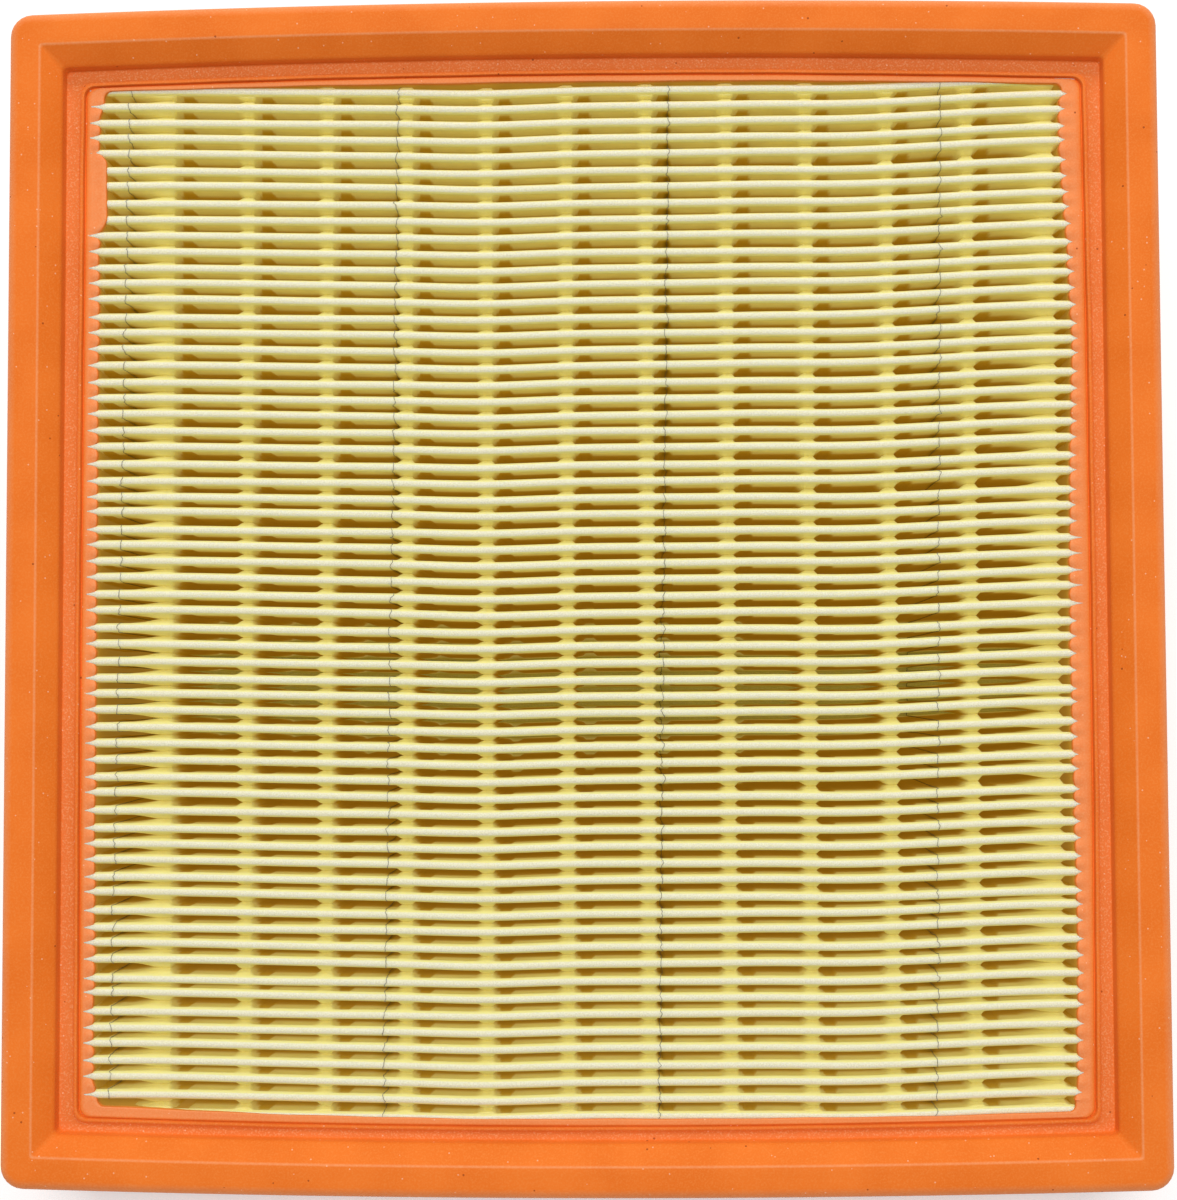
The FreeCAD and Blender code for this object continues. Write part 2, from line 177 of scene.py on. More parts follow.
# Spans and phases of the slow waves in the bead and the lip.
SWAY_WAVES = ((7.3 * MM, 1.0), (3.1 * MM, 2.3), (17.0 * MM, 4.1))
SWAY_TOP = 1.8

# Finishes. Edges that turn further than this stay sharp.
SHARP_EDGE = math.radians(38)
RELIEF = 0.12 * MM

# Stage, light and camera.
FLOOR_SIZE = 6.0
SURROUNDINGS = 0.36
CAMERA_PLACE = (10.61 * MM, -20.89 * MM, 480.0 * MM)
CAMERA_TURN = (2.593, 1.258, -0.207)
SENSOR_WIDTH = 36
LENS = 63.26
NEAREST = 10 * MM


def smooth(value):
    """Runs from 0 to 1 with level ends."""
    value = np.clip(value, 0.0, 1.0)
    return value * value * (3 - 2 * value)


def hump(x, start, stop, ramp):
    """1 between start and stop, with a ramp outside each of them."""
    return smooth((x - start + ramp) / ramp) * smooth((stop + ramp - x) / ramp)


def bell(x, centre, width):
    """1 at the centre, falling off on both sides."""
    return np.exp(-(((x - centre) / width) ** 2))


# ---------------------------------------------------------------- pleated paper

draws = random.Random(41)
ROW_SWAY = [[draws.gauss(0, 1) for _ in range(5)] for _ in range(PLEATS)]
ROW_SWAY[0] = BACK_ROW_SWAY
ROW_SWAY[-1] = FRONT_ROW_SWAY


def crest_wave(x):
    """How far every crest wanders from a straight line, along the pack."""
    x = x / MM
    bend, start, run = LEFT_BEND
    left = bend * smooth((-x - start) / run)
    bend, start, run = RIGHT_BEND
    right = bend * smooth((x - start) / run)
    bend, middle, width = DIP
    dip = bend * bell(x, middle, width)
    bend, middle, width = MOUND
    mound = bend * bell(x, middle, width)
    return (CREST_SHIFT + left + right + dip + mound) * MM


def crest_line(row, x):
    """The middle of one crest at each x. Row 0 is the crest nearest the back."""
    row = min(max(row, 0), PLEATS - 1)
    middle, left, right, wave, phase = ROW_SWAY[row]
    own = MIDDLE_SWAY * middle
    own = own + LEFT_SWAY * left * smooth(-x / SWAY_RUN) + RIGHT_SWAY * right * smooth(x / SWAY_RUN)
    own = own + WAVE_SWAY * wave * np.sin(x / WAVE_RUN + 2 * phase)
    first = PACK_SHIFT + PITCH * (PLEATS - 1) / 2
    return first - row * PITCH + crest_wave(x) + own * MM


def half_spacing(row, side, x):
    """Half the way from one crest to the next on that side (+1 is towards the back)."""
    other = row - side
    if other < 0 or other >= PLEATS:
        return np.full_like(x, PITCH / 2)
    return np.abs(crest_line(other, x) - crest_line(row, x)) / 2


def emboss(x):
    """Where the walls are pressed out, and where they are pressed in, from 0 to 1."""
    station = np.round((x - FIRST_STATION - STRETCH_CENTRE) / STATION_SPACING)
    station = np.clip(station, -1, STATIONS)
    local = x - FIRST_STATION - station * STATION_SPACING
    lead = np.where((station <= 0) | (station >= STATIONS - 1), LONG_BULGE_LEAD, BULGE_LEAD)
    out = smooth((local - BULGE_START + lead) / lead)
    out = out * smooth((BULGE_END + BULGE_FALL - local) / BULGE_FALL)
    back = hump(local, POCKET_START, POCKET_END, POCKET_RAMP)
    return out, back


def emboss_depth(depth):
    """How strong an embossed bulge is at a depth below the fold it belongs to."""
    lead = smooth(depth / EMBOSS_LEAD)
    fade = smooth((depth - EMBOSS_FULL) / (LEG - EMBOSS_FULL - EMBOSS_LEAD))
    tail = smooth((LEG - depth) / EMBOSS_LEAD)
    return lead * (1 - (1 - EMBOSS_TAIL) * fade) * tail


def wall_offset(row, side, x, depth):
    """Sideways distance from the crest line to the middle of the sheet, in one wall."""
    spacing = half_spacing(row, side, x)
    plain = FOLD + (spacing - 2 * FOLD) * depth / LEG
    out, back = emboss(x)
    pressed_out = spacing - SHEET / 2 - TOUCH_GAP / 2
    pressed_in = SHEET / 2 + TOUCH_GAP / 2
    offset = plain + out * emboss_depth(depth) * (pressed_out - plain)
    deepest = plain - pressed_in
    hollow = np.maximum(emboss_depth(LEG - depth) * deepest, POCKET_TOP * smooth(depth / EMBOSS_LEAD))
    hollow = np.minimum(hollow, deepest) * smooth((LEG - depth) / EMBOSS_LEAD)
    return offset - back * hollow


def yarn_lean(row):
    """How far every yarn has leaned to the right where it crosses a row."""
    return YARN_LEAN * crest_line(row, 0.0)


def shade_of_depth(row, x, depth):
    """0 on the upper wall, 1 where painted shade turns the paper amber in the depth, and above 1 where the
    yarns are glued.
    """
    depth = min(depth, LEG - depth)
    out, back = emboss(x)
    start = PAINTED_SHADE_START - POCKET_SHADE_RISE * back + BULGE_SHADE_DROP * out
    shade = smooth((depth - start) / (PAINTED_SHADE_RAMP - POCKET_RAMP_CUT * back))
    upright = x - yarn_lean(row)
    glue = sum(bell(upright, station, GLUE_WIDTH) for station in YARN_STATIONS)
    glue = glue * smooth((depth - GLUE_TOP) / GLUE_TOP_RAMP) * smooth((GLUE_END - depth) / GLUE_END_RAMP)
    return shade + glue


def pleat_places(depths):
    """Places along the sheet over one pleat, from the root in front to the root behind it."""
    half = [("root", turn) for turn in ROOT_TURNS]
    half += [("wall", depth * LEG) for depth in depths]
    half += [("crest", turn) for turn in CREST_TURNS]
    front = [(-1, kind, value) for kind, value in half]
    behind = [(1, kind, value) for kind, value in reversed(half)]
    return front + [(0, "crest", 1.0)] + behind


def place_on_sheet(row, place, x):
    """y, z, distance along the sheet from the nearest fold and the painted shade (with the glue), at each x.
    """
    side, kind, value = place
    pressed = END_CREST_DROP if row in (0, PLEATS - 1) else 0.0
    quarter = FOLD * math.pi / 2
    centre = crest_line(row, x)
    if kind == "crest":
        angle = value * math.pi / 2
        offset = FOLD * math.cos(angle)
        z = CREST_AXIS + FOLD * math.sin(angle) - pressed
        run = quarter * (1 - value)
        return centre + side * offset, z, run, 0.0
    if kind == "wall":
        offset = wall_offset(row, side, x, value)
        run = quarter + min(value, LEG - value)
        return centre + side * offset, CREST_AXIS - value, run, shade_of_depth(row, x, value)
    angle = value * math.pi / 2
    offset = half_spacing(row, side, x) - FOLD * math.sin(angle)
    z = ROOT_AXIS - FOLD * math.cos(angle)
    return centre + side * offset, z, quarter * value, 0.0


def pack_columns():
    """Places across the pack, closer together where the emboss rises and at the yarns."""
    rise = [BULGE_START - BULGE_LEAD * part for part in (1, 2 / 3, 1 / 3, 0)]
    fall = [BULGE_END + BULGE_FALL * part for part in (0, 0.5, 1)]
    pocket = [POCKET_START - 0.6 * MM, POCKET_START - 0.3 * MM, POCKET_START]
    pocket += [POCKET_END + POCKET_RAMP * part for part in (0, 0.5, 1)]
    between_stations = [-4.5 * MM, 9.5 * MM]
    marks = set()
    for station in range(-1, STATIONS):
        for step in rise + fall + pocket + between_stations:
            marks.add(round((FIRST_STATION + station * STATION_SPACING + step) / MM, 3))
    for station in YARN_STATIONS:
        marks |= {round(station / MM + step, 3) for step in YARN_COLUMNS}
    edge = PAPER_END / MM
    limit = edge - NARROWEST_COLUMN
    marks = [mark for mark in sorted(marks) if -limit < mark < limit]
    return np.array([-edge] + marks + [edge]) * MM


def fold_paper(first, count, name):
    """One run of pleats: a flat sheet that is folded, embossed and given its thickness."""
    across = pack_columns()
    places = pleat_places(WALL_DEPTHS)
    rows = []
    for row in reversed(range(first, first + count)):
        own = places if not rows else places[1:]
        rows += [(row, place) for place in own]
    bpy.ops.mesh.primitive_grid_add(x_subdivisions=len(across) - 1, y_subdivisions=len(rows) - 1, size=1)
    piece = bpy.context.object
    piece.name = name
    piece.data.name = name
    mesh = piece.data
    flat = np.empty(len(mesh.vertices) * 3)
    mesh.vertices.foreach_get("co", flat)
    flat = flat.reshape(-1, 3)
    column = np.rint((flat[:, 0] + 0.5) * (len(across) - 1)).astype(int)
    line = np.rint((flat[:, 1] + 0.5) * (len(rows) - 1)).astype(int)
    y = np.empty((len(rows), len(across)))
    z = np.empty_like(y)
    run = np.empty_like(y)
    shade = np.empty_like(y)
    for number, (row, place) in enumerate(rows):
        y[number], z[number], run[number], shade[number] = place_on_sheet(row, place, across)
    folded = np.stack([across[column], y[line, column], z[line, column]], axis=1)
    mesh.vertices.foreach_set("co", folded.ravel())
    for label, values in (("from_fold", run), ("painted_shade_and_glue", shade)):
        attribute = mesh.attributes.new(label, "FLOAT", "POINT")
        attribute.data.foreach_set("value", values[line, column])
    thickness = piece.modifiers.new("thickness", "SOLIDIFY")
    thickness.thickness = SHEET
    thickness.offset = 0
    bpy.ops.object.modifier_apply(modifier=thickness.name)
    return piece


# ---------------------------------------------------------------- yarns

def lay_yarn(station, side, name):
    """A glued yarn that follows the sheet, on its upper side (+1) or its lower side (-1)."""
    places = pleat_places(YARN_DEPTHS)
    # The seed comes from the station in thousandths of a millimetre, so each yarn wanders by itself.
    wander = random.Random(int(1e6 + station * 1e6) + side)
    drift = 0.0
    points = []
    for row in reversed(range(PLEATS)):
        own = places if not points else places[1:]
        for place in own:
            drift = YARN_MEMORY * drift + wander.gauss(0, YARN_STEP) * MM
            x = np.array([station + yarn_lean(row) + drift])
            y, z, _, _ = place_on_sheet(row, place, x)
            points.append((x[0], y[0], z))
    points = np.array(points)
    along = np.gradient(points, axis=0)
    away = np.stack([np.zeros(len(points)), -along[:, 2], along[:, 1]], axis=1)
    away /= np.linalg.norm(away, axis=1)[:, None]
    points += away * side * (SHEET / 2 + YARN_SINK * YARN_RADIUS)
    curve = bpy.data.curves.new(name, "CURVE")
    curve.dimensions = "3D"
    curve.bevel_depth = YARN_RADIUS
    curve.bevel_resolution = 0
    curve.use_fill_caps = True
    spline = curve.splines.new("POLY")
    spline.points.add(len(points) - 1)
    spline.points.foreach_set("co", np.column_stack([points, np.ones(len(points))]).ravel())
    yarn = bpy.data.objects.new(name, curve)
    bpy.context.scene.collection.objects.link(yarn)
    bpy.ops.object.select_all(action="DESELECT")
    yarn.select_set(True)
    bpy.context.view_layer.objects.active = yarn
    bpy.ops.object.convert(target="MESH")
    return bpy.context.object


# ---------------------------------------------------------------- moulded frame

def section(side, level, corner, end=None, bow=END_BOW, inner=0, lip=0.0,
            reach=0.0, rise=0.0, sway=0.0, grain=0.0, bloom=0.0, resin=0.0):
    """One line round the frame, in millimetres: how far in it is, its level and its corner radius.

    lip says how much of the lip's shifts it takes, reach and rise how far the lobes go in and up,
    and grain, paleness and the amber tone what the finish does there, from 0 to 1; the paleness is partly the
    skin's own tone and partly painted sheen, and the amber carries a painted glow.
    """
    return {
        "side": side * MM,
        "end": (side if end is None else end) * MM,
        "level": level * MM,
        "corner": corner * MM,
        "bead": inner == 1 and lip == 0 and level > UPPER_FACE,
        "bow": bow,
        "reach": reach * MM,
        "rise": rise * MM,
        "moulded_grain": grain,
        "sway": sway * MM,
        "inner": inner,
        "bloom": bloom,
        "lip": lip,
        "resin": resin,
    }


def rounded(inset, level, radius, start, stop, steps, corner, bloom=0.0):
    """A rounded edge of the frame's section, as several lines."""
    made = []
    for step in range(steps + 1):
        angle = math.radians(start + (stop - start) * step / steps)
        side = inset - radius * math.cos(angle)
        round_corner = max(corner - side, SHARPEST_CORNER)
        painted_edge_sheen = bloom * (1 - side / inset)
        made.append(section(side, level + radius * math.sin(angle), round_corner, bloom=painted_edge_sheen))
    return made


def lip_line(side, level, end, corner=1.5, **more):
    """A line of the lip or of the wall below it."""
    return section(side, level, corner, end=end, bow=LIP_BOW, inner=1, **more)


def frame_sections():
    """The whole section: flange, land, inner slope, step, bead, lip, inner wall, rim and outer wall."""
    top = HEIGHT / MM
    crest = CREST_TOP / MM
    lines = []
    lines += [section(10.0, 45.0, 4.0), section(6.0, 45.0, 4.2), section(2.2, 45.0, 4.4)]
    lines += rounded(1.2, 46.2, 1.2, -90, 0, 4, 4.6)
    lines += [section(0, 49.0, 4.6), section(0, 53.0, 4.6)]
    # The rounded shoulder takes a painted sheen along its edge.
    lines += rounded(2.2, top - 2.2, 2.2, 0, 90, 7, 4.6, bloom=0.55)
    lines += [
        section(3.2, top, 2.6),
        section(5.0, top, 1.4),
        section(6.25, top - 0.01, 0.8),
        # The crease takes a painted highlight.
        section(6.6, top - 0.07, 0.6, bloom=0.5),
        section(6.95, top - 0.3, 0.6),
        section(8.6, 56.5, 0.8),
        section(10.2, 55.3, 1.0),
        section(10.55, 54.95, 1.0),
        section(10.7, 54.5, 1.0),
        section(10.8, 52.8, 1.0),
        section(10.95, 52.5, 1.0, grain=0.4),
        section(11.25, 52.4, 1.0, grain=1.0),
        section(12.2, 52.4, 1.6, grain=1.0),
        section(12.9, 52.42, 2.2, grain=1.0, inner=1),
        section(13.15, 52.6, 2.3, grain=0.7, sway=0.04, inner=1),
        section(13.35, 52.9, 2.3, grain=0.5, sway=0.04, inner=1),
        section(13.65, 53.05, 2.3, grain=0.4, sway=0.04, inner=1),
        section(13.95, 53.0, 2.2, grain=0.3, sway=0.04, end=13.9, inner=1),
        section(14.12, 52.6, 2.1, sway=0.04, end=14.03, inner=1),
        section(14.25, 52.1, 2.0, sway=0.04, end=14.12, inner=1),
        section(14.4, 52.12, 2.0, sway=0.04, end=14.22, inner=1),
        section(14.6, 52.55, 2.0, end=14.35, inner=1),
        # The lip and its lobes take a paler tone with painted sheen.
        section(15.1, crest + 0.06, 2.0, end=14.55, inner=1, bloom=0.25),
        lip_line(16.2, crest - 0.02, 14.85, 2.0, lip=0.3, rise=0.1, bloom=0.4),
        lip_line(17.0, crest - 0.04, 15.1, 1.8, lip=0.7, rise=0.2, bloom=0.4),
        lip_line(17.6, crest - 0.07, 15.3, 1.6, lip=1, reach=0.1, rise=0.3, sway=0.03, bloom=0.4),
        lip_line(18.1, crest - 0.13, 15.42, lip=1, reach=0.2, rise=0.4, sway=0.05, bloom=0.45),
        lip_line(18.55, crest - 0.22, 15.5, lip=1, reach=0.35, rise=0.45, sway=0.06, bloom=0.5),
        lip_line(18.78, crest - 0.45, 15.54, lip=1, reach=0.5, rise=0.55, sway=0.08),
        # The wall below the lip turns amber, with a painted glow.
        lip_line(18.86, 51.2, 15.55, lip=1, reach=0.6, rise=0.7, sway=0.1, resin=0.5),
        lip_line(18.87, 50.4, 15.55, lip=1, reach=0.6, rise=0.7, sway=0.1, resin=0.9),
        lip_line(18.8, 48.5, 15.5, lip=1, resin=1),
        lip_line(18.5, 40.0, 15.5, lip=1, resin=1),
        lip_line(18.2, 24.0, 15.5, lip=1, resin=1),
        lip_line(18.2, 8.0, 15.5, resin=1),
        lip_line(18.2, 2.5, 15.5, resin=1),
        section(18.2, 0.5, 1.5, end=15.5, bow=LIP_BOW),
        section(18.0, 0.1, 1.5, end=15.3, bow=LIP_BOW),
        section(17.6, 0.0, 1.6, end=15.0, bow=LIP_BOW),
        section(15.0, 0.0, 2.4, end=14.0, bow=LIP_BOW),
        section(12.5, 0.0, 3.2),
        section(12.1, 0.15, 3.4),
        section(11.6, 0.7, 3.7),
        section(11.45, 1.2, 3.8),
        section(11.0, 15.0, 3.9),
        section(10.5, 30.0, 4.0),
        section(10.05, 44.2, 4.0),
    ]
    return lines


def side_places():
    """Places along one long side, closer together than the pleats so that the lobes between them show."""
    count = int(round(2 * SIDE_RUN / PITCH)) * COLUMNS_PER_PLEAT
    return np.linspace(-SIDE_RUN, SIDE_RUN, count + 1)


def end_places():
    """Places along one end, from right to left."""
    return np.linspace(END_RUN, -END_RUN, END_COLUMNS)


def gap_between_crests(y, edge):
    """0 on a crest and 1 half way between two crests, with a number for each gap."""
    x = np.array([edge])
    crests = np.array([crest_line(row, x)[0] for row in reversed(range(PLEATS))])
    place = np.interp(y, crests, np.arange(PLEATS))
    return np.sin(np.pi * place) ** 2, np.floor(place).astype(int)


lobe_draws = random.Random(7)
LOBE_SIZES = np.array([[lobe_draws.uniform(*LOBE_RANGE) for _ in range(PLEATS + 1)] for _ in range(2)])


def quarter_corner(half_x, half_y, radius):
    """The back right corner from the end of the side run to the start of the end run."""
    points = [(half_x, SIDE_RUN + (half_y - radius - SIDE_RUN) * part) for part in (0.35, 0.7)]
    start = half_x - radius
    for step in range(CORNER_TURNS + 1):
        angle = math.pi / 2 * step / CORNER_TURNS
        points.append((start + radius * math.cos(angle), half_y - radius + radius * math.sin(angle)))
    points += [(start + (END_RUN - start) * part, half_y) for part in (0.3, 0.65)]
    return np.array(points)


def swayed(line, run, seed):
    """Slow waves along a line, as a hand-trimmed mould leaves them."""
    waves = sum(np.sin(run / span + seed * turn) for span, turn in SWAY_WAVES)
    return line["sway"] * waves / SWAY_TOP


def bowed(line, x, way, turn=1):
    """How far one end (back 1, front -1) stands out at x. turn is -1 where x is mirrored."""
    half_x = HALF_WIDTH - line["side"]
    left, right = LIP_PULL[way]
    pull = np.where(turn * x < 0, left, right) * line["lip"]
    return line["bow"] * (1 - (x / half_x) ** 2) - pull * (x / END_RUN) ** 2


def end_y(line, way):
    """Where the corners of one end are."""
    return HALF_LENGTH - line["end"] - line["bow"] + line["inner"] * END_SHIFT[way]


def side_shift(line, sign, y):
    """How much further in a line lies along the right side (1) or the left side (-1)."""
    if line["bead"]:
        return BEAD_SHIFT[sign] + BEAD_BOW[sign] * (y / SIDE_RUN) ** 2
    shift = LEFT_LIP_SHIFT if sign < 0 else np.interp(y, RIGHT_LIP_PLACES, RIGHT_LIP_SHIFTS)
    return shift * smooth((SIDE_RUN - abs(y)) / LIP_SHIFT_RAMP) * line["lip"]


def side_lift(line, sign, y):
    """How much higher the lip stands along the right side (1) or the left side (-1)."""
    lift = LEFT_LIP_LIFT
    if sign > 0:
        lift = RIGHT_LIP_LIFT * (1 - hump(y, *RIGHT_LOW_RUN, LIP_LIFT_RAMP))
    return lift * min(line["lip"] / LIFTED_LIP, 1.0)


def side_points(line, sign):
    """One line along the right side (1) or the left side (-1), with its lobes between the crests."""
    half_x = HALF_WIDTH - line["side"]
    y = side_places()
    gap, number = gap_between_crests(y, sign * (HALF_WIDTH - LIP_EDGE))
    which = 0 if sign > 0 else 1
    size = LOBE_SIZES[which][np.clip(number, 0, PLEATS)]
    flash = line["lip"] * hump(y, *FLASH_RUN, FLASH_RAMP) if sign < 0 else 0.0
    reach = line["reach"] * (gap - LOBE_MEAN) * size
    reach = reach * (1 - flash) + FLASH_REACH * flash
    x = half_x - reach - side_shift(line, sign, y) + swayed(line, y, which + 1)
    z = line["level"] + line["rise"] * (gap + (1 - gap) * flash)
    z = z + FLASH_RISE * flash + side_lift(line, sign, y)
    points = np.stack([sign * x, y, z], axis=1)
    return points if sign > 0 else points[::-1]


def corner_points(line, sign_x, sign_y):
    """One line round a corner, on the right or left (1, -1) and at the back or front (1, -1)."""
    corner_x = HALF_WIDTH - line["side"]
    if line["bead"]:
        corner_x -= BEAD_SHIFT[sign_x] + BEAD_BOW[sign_x]
    corner = quarter_corner(corner_x, end_y(line, sign_y), line["corner"])
    level = np.full(len(corner), line["level"] + line["rise"] / 2)
    past_side = smooth((corner[:, 1] - SIDE_RUN) / (2 * MM))
    y = corner[:, 1] + bowed(line, corner[:, 0], sign_y, sign_x) * past_side
    points = np.stack([sign_x * corner[:, 0], sign_y * y, level], axis=1)
    return points if sign_x * sign_y > 0 else points[::-1]


def end_points(line, way):
    """One line along the back (1) or the front (-1)."""
    x = end_places()
    y = end_y(line, way) + bowed(line, x, way) + swayed(line, x, 3 if way > 0 else 4)
    level = np.full(len(x), line["level"] + line["rise"] / 2)
    points = np.stack([x, way * y, level], axis=1)
    return points if way > 0 else points[::-1]


def section_line(line):
    """The points of one line round the frame, anticlockwise from the front right corner."""
    return np.concatenate([
        side_points(line, 1), corner_points(line, 1, 1),
        end_points(line, 1), corner_points(line, -1, 1),
        side_points(line, -1), corner_points(line, -1, -1),
        end_points(line, -1), corner_points(line, 1, -1),
    ])


def mould_frame(name):
    """The moulded frame: a ring drawn round its outline, carried through every line of its section."""
    lines = frame_sections()
    outline = section_line(lines[0])
    bpy.ops.mesh.primitive_circle_add(vertices=len(outline), radius=HALF_WIDTH)
    ring = bpy.context.object
    ring.name = name
    ring.data.name = name
    bpy.ops.object.mode_set(mode="EDIT")
    mesh = bmesh.from_edit_mesh(ring.data)
    column = mesh.verts.layers.int.new("column")
    labels = ("moulded_grain", "bloom", "resin")
    for label in labels:
        mesh.verts.layers.float.new(label)
    for number, vertex in enumerate(mesh.verts):
        vertex[column] = number
        vertex.co = outline[number]
    bmesh.update_edit_mesh(ring.data)
    bpy.ops.mesh.select_all(action="SELECT")
    for line in lines[1:] + lines[:1]:
        bpy.ops.mesh.extrude_region()
        outline = section_line(line)
        mesh = bmesh.from_edit_mesh(ring.data)
        column = mesh.verts.layers.int["column"]
        marks = [(mesh.verts.layers.float[label], line[label]) for label in labels]
        for vertex in mesh.verts:
            if vertex.select:
                vertex.co = outline[vertex[column]]
                for layer, value in marks:
                    vertex[layer] = value
        bmesh.update_edit_mesh(ring.data)
    bpy.ops.mesh.select_all(action="SELECT")
    bpy.ops.mesh.remove_doubles(threshold=SEAM)
    bpy.ops.mesh.normals_make_consistent(inside=False)
    bpy.ops.object.mode_set(mode="OBJECT")
    return ring


# ---------------------------------------------------------------- finishes

def add_node(tree, kind, **settings):
    """A new node with the given settings."""
    node = tree.nodes.new(kind)
    for key, value in settings.items():
        setattr(node, key, value)
    return node


def feed(tree, source, target):
    """Joins an output to an input."""
    tree.links.new(source, target)


def calculate(tree, operation, first, second):
    """One sum on two values, each a number or an output."""
    node = add_node(tree, "ShaderNodeMath", operation=operation)
    for socket, value in ((node.inputs[0], first), (node.inputs[1], second)):
        if isinstance(value, (int, float)):
            socket.default_value = value
        else:
            feed(tree, value, socket)
    return node.outputs[0]


def blend_colours(tree, amount, first, second):
    """The first colour where the amount is 0 and the second where it is 1."""
    node = add_node(tree, "ShaderNodeMix", data_type="RGBA")
    for socket, value in ((node.inputs[0], amount), (node.inputs[6], first), (node.inputs[7], second)):
        if isinstance(value, (tuple, float, int)):
            socket.default_value = value
        else:
            feed(tree, value, socket)
    return node.outputs[2]


def between(tree, value, low, high):
    """Stretches a value so that low gives 0 and high gives 1."""
    node = add_node(tree, "ShaderNodeMapRange", clamp=True)
    feed(tree, value, node.inputs[0])
    node.inputs[1].default_value = low
    node.inputs[2].default_value = high
    return node.outputs[0]


def specks_group():
    """Small round specks or pores, scattered evenly."""
    tree = bpy.data.node_groups.new("scattered_specks", "ShaderNodeTree")
    tree.interface.new_socket("Place", in_out="INPUT", socket_type="NodeSocketVector")
    tree.interface.new_socket("Spread", in_out="INPUT", socket_type="NodeSocketFloat")
    tree.interface.new_socket("Size", in_out="INPUT", socket_type="NodeSocketFloat")
    tree.interface.new_socket("Share", in_out="INPUT", socket_type="NodeSocketFloat")
    tree.interface.new_socket("Mask", in_out="OUTPUT", socket_type="NodeSocketFloat")
    given = add_node(tree, "NodeGroupInput")
    result = add_node(tree, "NodeGroupOutput")
    cells = add_node(tree, "ShaderNodeTexVoronoi")
    feed(tree, given.outputs["Place"], cells.inputs["Vector"])
    feed(tree, given.outputs["Spread"], cells.inputs["Scale"])
    near = calculate(tree, "LESS_THAN", cells.outputs["Distance"], given.outputs["Size"])
    pick = add_node(tree, "ShaderNodeSeparateColor")
    feed(tree, cells.outputs["Color"], pick.inputs[0])
    chosen = calculate(tree, "LESS_THAN", pick.outputs[0], given.outputs["Share"])
    feed(tree, calculate(tree, "MULTIPLY", near, chosen), result.inputs["Mask"])
    return tree


def grain_group():
    """Fine uneven grain on top of a slower cloudiness."""
    tree = bpy.data.node_groups.new("fine_grain", "ShaderNodeTree")
    tree.interface.new_socket("Place", in_out="INPUT", socket_type="NodeSocketVector")
    tree.interface.new_socket("Grain Scale", in_out="INPUT", socket_type="NodeSocketFloat")
    tree.interface.new_socket("Cloud Scale", in_out="INPUT", socket_type="NodeSocketFloat")
    tree.interface.new_socket("Grain", in_out="OUTPUT", socket_type="NodeSocketFloat")
    tree.interface.new_socket("Cloud", in_out="OUTPUT", socket_type="NodeSocketFloat")
    given = add_node(tree, "NodeGroupInput")
    result = add_node(tree, "NodeGroupOutput")
    for scale, output, detail in (("Grain Scale", "Grain", 3.0), ("Cloud Scale", "Cloud", 2.0)):
        noise = add_node(tree, "ShaderNodeTexNoise")
        noise.inputs["Detail"].default_value = detail
        feed(tree, given.outputs["Place"], noise.inputs["Vector"])
        feed(tree, given.outputs[scale], noise.inputs["Scale"])
        feed(tree, noise.outputs["Fac"], result.inputs[output])
    return tree


SPECKS = specks_group()
GRAIN = grain_group()


def specks(tree, place, spread, size, share):
    """Scattered specks: how many there are, how large, and what share of them shows."""
    node = add_node(tree, "ShaderNodeGroup", node_tree=SPECKS)
    feed(tree, place, node.inputs["Place"])
    node.inputs["Spread"].default_value = spread
    node.inputs["Size"].default_value = size
    node.inputs["Share"].default_value = share
    return node.outputs["Mask"]


def grain(tree, place, fine, cloud):
    """Fine grain and slow cloudiness, each at its own scale."""
    node = add_node(tree, "ShaderNodeGroup", node_tree=GRAIN)
    feed(tree, place, node.inputs["Place"])
    node.inputs["Grain Scale"].default_value = fine
    node.inputs["Cloud Scale"].default_value = cloud
    return node.outputs["Grain"], node.outputs["Cloud"]


def start_finish(name):
    """A new material, its shader and the place on the piece that its texture reads."""
    finish = bpy.data.materials.new(name)
    finish.use_nodes = True
    tree = finish.node_tree
    shader = tree.nodes["Principled BSDF"]
    place = add_node(tree, "ShaderNodeTexCoord").outputs["Object"]
    return finish, tree, shader, place


def read_attribute(tree, name):
    """A value that a piece carries at its points."""
    return add_node(tree, "ShaderNodeAttribute", attribute_name=name).outputs["Fac"]


def raise_surface(tree, shader, height, strength, distance):
    """Gives the surface a fine relief."""
    bump = add_node(tree, "ShaderNodeBump")
    bump.inputs["Strength"].default_value = strength
    bump.inputs["Distance"].default_value = distance
    feed(tree, height, bump.inputs["Height"])
    feed(tree, bump.outputs[0], shader.inputs["Normal"])


